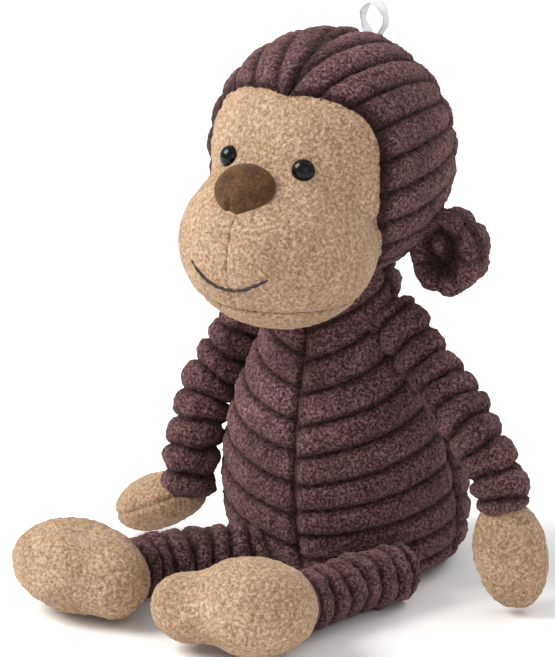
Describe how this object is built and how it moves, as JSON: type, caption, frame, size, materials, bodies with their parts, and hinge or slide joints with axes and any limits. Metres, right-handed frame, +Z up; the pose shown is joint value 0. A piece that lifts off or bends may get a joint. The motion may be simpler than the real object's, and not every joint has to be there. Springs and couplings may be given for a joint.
{
  "type": "stuffed monkey",
  "caption": "Sitting stuffed monkey in chunky cord plush, with a padded face, a jointed neck, folding ears, and arms and legs that bend at every soft joint.",
  "frame": {"origin": "on the floor, under the middle of the seat panel", "axes": "+Z up, the face looks along -Y, +X is the monkey's left"},
  "size_m": [0.1926, 0.1885, 0.2199],
  "materials": {
    "brown_cord": "chunky cord plush with a nubby pile",
    "tan_plush": "short curly plush",
    "suede": "brushed suede",
    "filling": "loose polyester fibre",
    "pellet_cloth": "thin cloth bag of plastic pellets",
    "eye_gloss": "polished",
    "washer_plastic": "moulded",
    "thread": "twisted embroidery thread",
    "ribbon": "thin woven satin ribbon"
  },
  "bodies": {
    "torso": {"torso_front_left": "brown_cord", "torso_front_right": "brown_cord", "torso_back_left": "brown_cord", "torso_back_right": "brown_cord", "seat_panel": "brown_cord", "pellet_bag": "pellet_cloth", "torso_stuffing": "filling"},
    "neck": {"neck_plug": "filling"},
    "head": {"head_side_left": "brown_cord", "head_side_right": "brown_cord", "head_back": "brown_cord", "forehead_panel": "tan_plush", "muzzle_left": "tan_plush", "muzzle_right": "tan_plush", "chin_panel": "tan_plush", "head_stuffing": "filling", "muzzle_stuffing": "filling", "eye_left": "eye_gloss", "eye_right": "eye_gloss", "eye_washer_left": "washer_plastic", "eye_washer_right": "washer_plastic", "nose_cover": "suede", "nose_padding": "filling", "mouth_stitch": "thread", "hang_loop": "ribbon"},
    "ear_left": {"ear_left_front": "brown_cord", "ear_left_back": "brown_cord", "ear_left_wadding": "filling"},
    "arm_left_upper": {"arm_left_upper_sleeve": "brown_cord", "arm_left_upper_stuffing": "filling"},
    "arm_left_lower": {"arm_left_lower_sleeve": "brown_cord", "arm_left_lower_stuffing": "filling"},
    "paw_left": {"paw_left_front": "tan_plush", "paw_left_back": "tan_plush", "paw_left_stuffing": "filling"},
    "leg_left_upper": {"leg_left_upper_sleeve": "brown_cord", "leg_left_upper_stuffing": "filling"},
    "leg_left_lower": {"leg_left_lower_sleeve": "brown_cord", "leg_left_lower_stuffing": "filling"},
    "foot_left": {"foot_left_top": "tan_plush", "foot_left_sole": "tan_plush", "foot_left_stuffing": "filling"},
    "ear_right": {"ear_right_front": "brown_cord", "ear_right_back": "brown_cord", "ear_right_wadding": "filling"},
    "arm_right_upper": {"arm_right_upper_sleeve": "brown_cord", "arm_right_upper_stuffing": "filling"},
    "arm_right_lower": {"arm_right_lower_sleeve": "brown_cord", "arm_right_lower_stuffing": "filling"},
    "paw_right": {"paw_right_front": "tan_plush", "paw_right_back": "tan_plush", "paw_right_stuffing": "filling"},
    "leg_right_upper": {"leg_right_upper_sleeve": "brown_cord", "leg_right_upper_stuffing": "filling"},
    "leg_right_lower": {"leg_right_lower_sleeve": "brown_cord", "leg_right_lower_stuffing": "filling"},
    "foot_right": {"foot_right_top": "tan_plush", "foot_right_sole": "tan_plush", "foot_right_stuffing": "filling"}
  },
  "joints": [
    {"name": "neck_turn", "type": "hinge", "parent": "torso", "child": "neck", "pos_m": [0, -0.01345, 0.11099], "axis": [0, 0, 1], "range_deg": [-35, 35]},
    {"name": "neck_nod", "type": "hinge", "parent": "neck", "child": "head", "pos_m": [0, -0.01345, 0.11099], "axis": [1, 0, 0], "range_deg": [-14, 14]},
    {"name": "ear_left_fold", "type": "hinge", "parent": "head", "child": "ear_left", "pos_m": [0.033, 0, 0.134], "axis": [0, 0, 1], "range_deg": [-12, 12]},
    {"name": "ear_right_fold", "type": "hinge", "parent": "head", "child": "ear_right", "pos_m": [-0.033, 0, 0.134], "axis": [0, 0, 1], "range_deg": [-12, 12]},
    {"name": "shoulder_left", "type": "hinge", "parent": "torso", "child": "arm_left_upper", "pos_m": [0.0365, -0.01396, 0.101], "axis": [-1, 0, 0], "range_deg": [-20, 80]},
    {"name": "elbow_left", "type": "hinge", "parent": "arm_left_upper", "child": "arm_left_lower", "pos_m": [0.06398, -0.01803, 0.07657], "axis": [-1, 0, 0], "range_deg": [-30, 50]},
    {"name": "wrist_left", "type": "hinge", "parent": "arm_left_lower", "child": "paw_left", "pos_m": [0.08558, -0.02244, 0.0481], "axis": [-1, 0, 0], "range_deg": [-25, 25]},
    {"name": "shoulder_right", "type": "hinge", "parent": "torso", "child": "arm_right_upper", "pos_m": [-0.0365, -0.01396, 0.101], "axis": [-1, 0, 0], "range_deg": [-4, 80]},
    {"name": "elbow_right", "type": "hinge", "parent": "arm_right_upper", "child": "arm_right_lower", "pos_m": [-0.05072, -0.02716, 0.0695], "axis": [-1, 0, 0], "range_deg": [-8, 50]},
    {"name": "wrist_right", "type": "hinge", "parent": "arm_right_lower", "child": "paw_right", "pos_m": [-0.0548, -0.03939, 0.03589], "axis": [-1, 0, 0], "range_deg": [-25, 25]},
    {"name": "hip_left", "type": "hinge", "parent": "torso", "child": "leg_left_upper", "pos_m": [0.04041, -0.04637, 0.012], "axis": [-0.9798, 0.2, 0], "range_deg": [-10, 25]},
    {"name": "knee_left", "type": "hinge", "parent": "leg_left_upper", "child": "leg_left_lower", "pos_m": [0.03481, -0.07381, 0.012], "axis": [-0.9798, 0.2, 0], "range_deg": [-5, 30]},
    {"name": "ankle_left", "type": "hinge", "parent": "leg_left_lower", "child": "foot_left", "pos_m": [0.02941, -0.10026, 0.012], "axis": [-0.9798, 0.2, 0], "range_deg": [-15, 15]},
    {"name": "hip_right", "type": "hinge", "parent": "torso", "child": "leg_right_upper", "pos_m": [-0.02405, -0.05658, 0.012], "axis": [-0.7848, 0.6198, 0], "range_deg": [-10, 25]},
    {"name": "knee_right", "type": "hinge", "parent": "leg_right_upper", "child": "leg_right_lower", "pos_m": [-0.0414, -0.07855, 0.012], "axis": [-0.995, 0.1, 0], "range_deg": [-5, 30]},
    {"name": "ankle_right", "type": "hinge", "parent": "leg_right_lower", "child": "foot_right", "pos_m": [-0.0441, -0.10542, 0.012], "axis": [-0.995, 0.1, 0], "range_deg": [-15, 15]}
  ]
}
